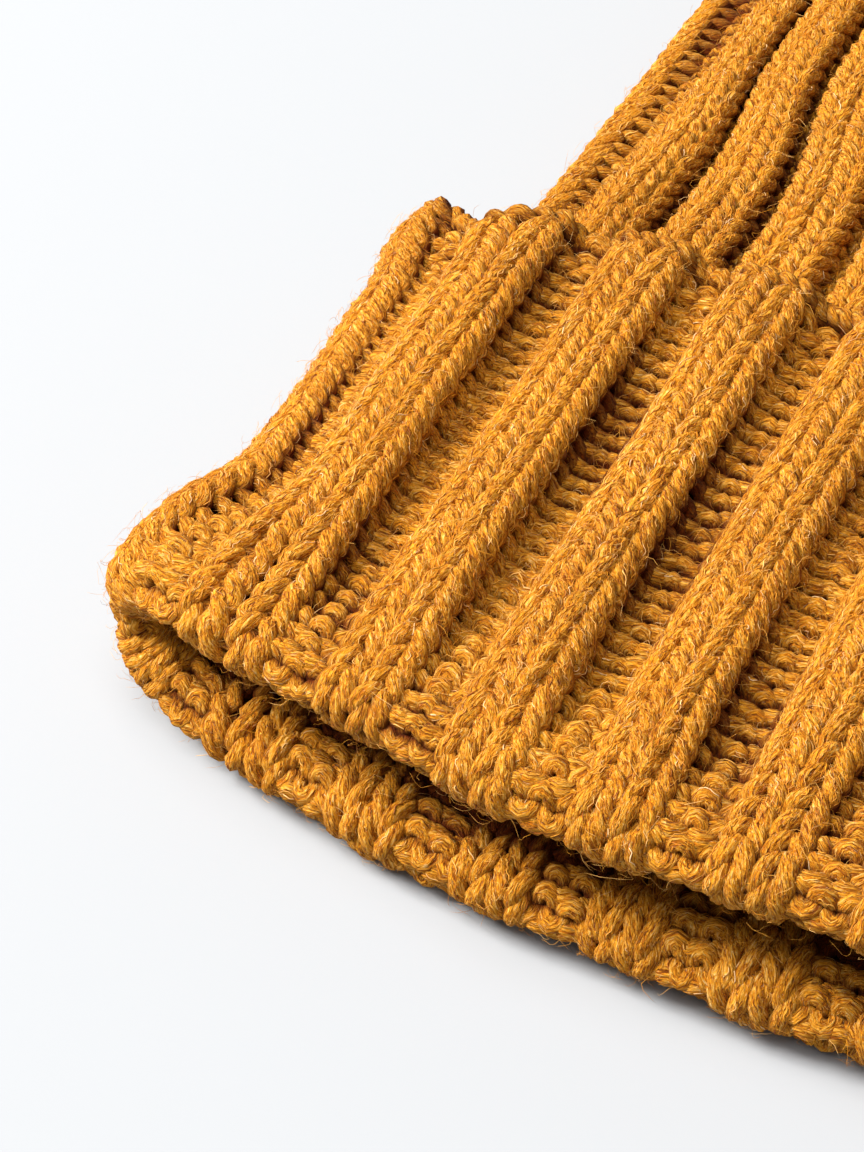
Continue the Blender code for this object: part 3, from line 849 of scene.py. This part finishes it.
def fibre_pieces(name, batches, radius, tones):
    """Makes fibres into pieces of a limited size."""
    lines = np.concatenate([batch[0] for batch in batches])
    depth = np.concatenate([batch[1] for batch in batches])
    triangles = 6 * (lines.shape[1] - 3) + 6
    limit = PIECE_TRIANGLES // triangles
    made = []
    for number, first in enumerate(range(0, len(lines), limit)):
        part = slice(first, first + limit)
        size = len(lines[part])
        shape = Shape()
        shape.strands(lines[part], RNG.uniform(*radius, size), depth[part], RNG.uniform(*tones, size))
        made.append(shape.make(f"{name}_{number + 1}", hair_look))
    return made


KINDS = (("bundles", BUNDLES, shows_near), ("singles", SINGLES, shows_near), ("loose", LOOSE, shows_far))


def zone_fibres(zone, hairs, *counts):
    """All fibres of a zone, from their numbers to each stitch."""
    made = []
    for (kind, (lift, length, steps, radius, crimp, tones), keep), count in zip(KINDS, counts):
        if not count:
            continue
        batches = []
        for line in yarns[zone]:
            number = int(line.length[-1] / STITCH_YARN * count)
            batches.append(surface_fibres(line, number, keep, lift, length, steps, crimp))
        made += fibre_pieces(f"{zone}_{kind}", batches, radius, tones)
    if hairs:
        reach, steps, radius, tones = HAIRS
        batches = [stray_hairs(line, int(line.length[-1] / STITCH_YARN * hairs), shows_near, reach, steps)
                   for line in yarns[zone]]
        made += fibre_pieces(f"{zone}_hairs", batches, radius, tones)
    return made


# for each zone: hairs, bundles, singles and loose fibres on each stitch
FIBRES = {"cuff": (5, 76, 60, 8), "brim": (5, 76, 60, 8), "body": (3, 30, 24, 7), "crown": (0, 0, 0, 7),
          "inner": (0, 0, 0, 1)}
fibres = {zone: zone_fibres(zone, *counts) for zone, counts in FIBRES.items()}

# ------------------------------------------------------------------------------------------------------------
# Bodies and nodes
# ------------------------------------------------------------------------------------------------------------

NODES = {"cuff": ["cuff_layer"], "brim": ["brim_fold"], "inner": ["body_tube"], "covered": ["body_tube"],
         "body": ["body_tube"],
         "crown": ["crown_wedge_front_left", "crown_wedge_front_right", "crown_wedge_back_right",
                   "crown_wedge_back_left"], "gather": ["crown_gather"]}


def settle_on_body(piece, zone):
    if zone in ("cuff", "brim"):
        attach(piece, "cuff")
    elif zone in ("inner", "covered"):
        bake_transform(piece)
    else:
        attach(piece, "hat_body")


for zone, group in pieces.items():
    for piece in group:
        settle_on_body(piece, zone)
        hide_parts(*NODES[zone])
for zone, group in fibres.items():
    for piece in group:
        settle_on_body(piece, zone)
for piece, body, stands_for in ((cast_on, "cuff", "cast_on_edge"), (closing_yarn, "hat_body", "closing_yarn"),
                                (yarn_end, "hat_body", "crown_yarn_end")):
    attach(piece, body)
    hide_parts(stands_for)

# ------------------------------------------------------------------------------------------------------------
# Floor, light and camera
# ------------------------------------------------------------------------------------------------------------

FLOOR_HALF, FLOOR_Z = 3, -0.0001
corners = [(x * FLOOR_HALF, y * FLOOR_HALF, FLOOR_Z) for x, y in ((-1, -1), (1, -1), (1, 1), (-1, 1))]
floor_mesh = bpy.data.meshes.new("floor")
floor_mesh.from_pydata(corners, [], [(0, 1, 2, 3)])
floor = bpy.data.objects.new("floor", floor_mesh)
bpy.context.scene.collection.objects.link(floor)
floor_look, _, floor_shader = new_material("pale_floor")
dial(floor_shader, {"Base Color": (0.348, 0.355, 0.364, 1.0), "Roughness": 0.9, "Specular IOR Level": 0.1})
floor_mesh.materials.append(floor_look)

world = bpy.data.worlds.new("studio")
world.use_nodes = True
dial(world.node_tree.nodes["Background"], {"Color": (0.90, 0.95, 1.0, 1.0), "Strength": 0.28})
bpy.context.scene.world = world


def area_light(name, location, target, size, power, colour):
    """A square light that looks at a point."""
    light = bpy.data.lights.new(name, "AREA")
    light.shape = "RECTANGLE"
    light.size = light.size_y = size
    light.energy = power
    light.color = colour
    made = bpy.data.objects.new(name, light)
    made.location = location
    aim = np.array(target) - np.array(location)
    made.rotation_euler = Vector(aim).to_track_quat("-Z", "Y").to_euler()
    bpy.context.scene.collection.objects.link(made)


area_light("key", (-1.72, -0.38, 1.44), (-0.02, -0.05, 0.0), 0.8, 117.0, (1.0, 0.985, 0.96))
area_light("top", (-0.40, -0.50, 2.2), (0.0, 0.0, 0.0), 1.8, 56.0, (0.97, 0.98, 1.0))

EYE, LOOKED_AT = (0.0507, -0.3217, 0.2881), (-0.0675, -0.0827, 0.020)
camera = bpy.data.objects.new("camera", bpy.data.cameras.new("camera"))
bpy.context.scene.collection.objects.link(camera)
camera.location = EYE
camera.rotation_mode = "QUATERNION"
aim = Vector(LOOKED_AT) - Vector(EYE)
camera.rotation_quaternion = aim.to_track_quat("-Z", "Y")
camera.data.lens = 103.66
camera.data.sensor_width = 36.0
camera.data.clip_start = 0.01
camera.data.clip_end = 20.0
bpy.context.scene.camera = camera
bpy.context.scene.view_settings.view_transform = "Standard"
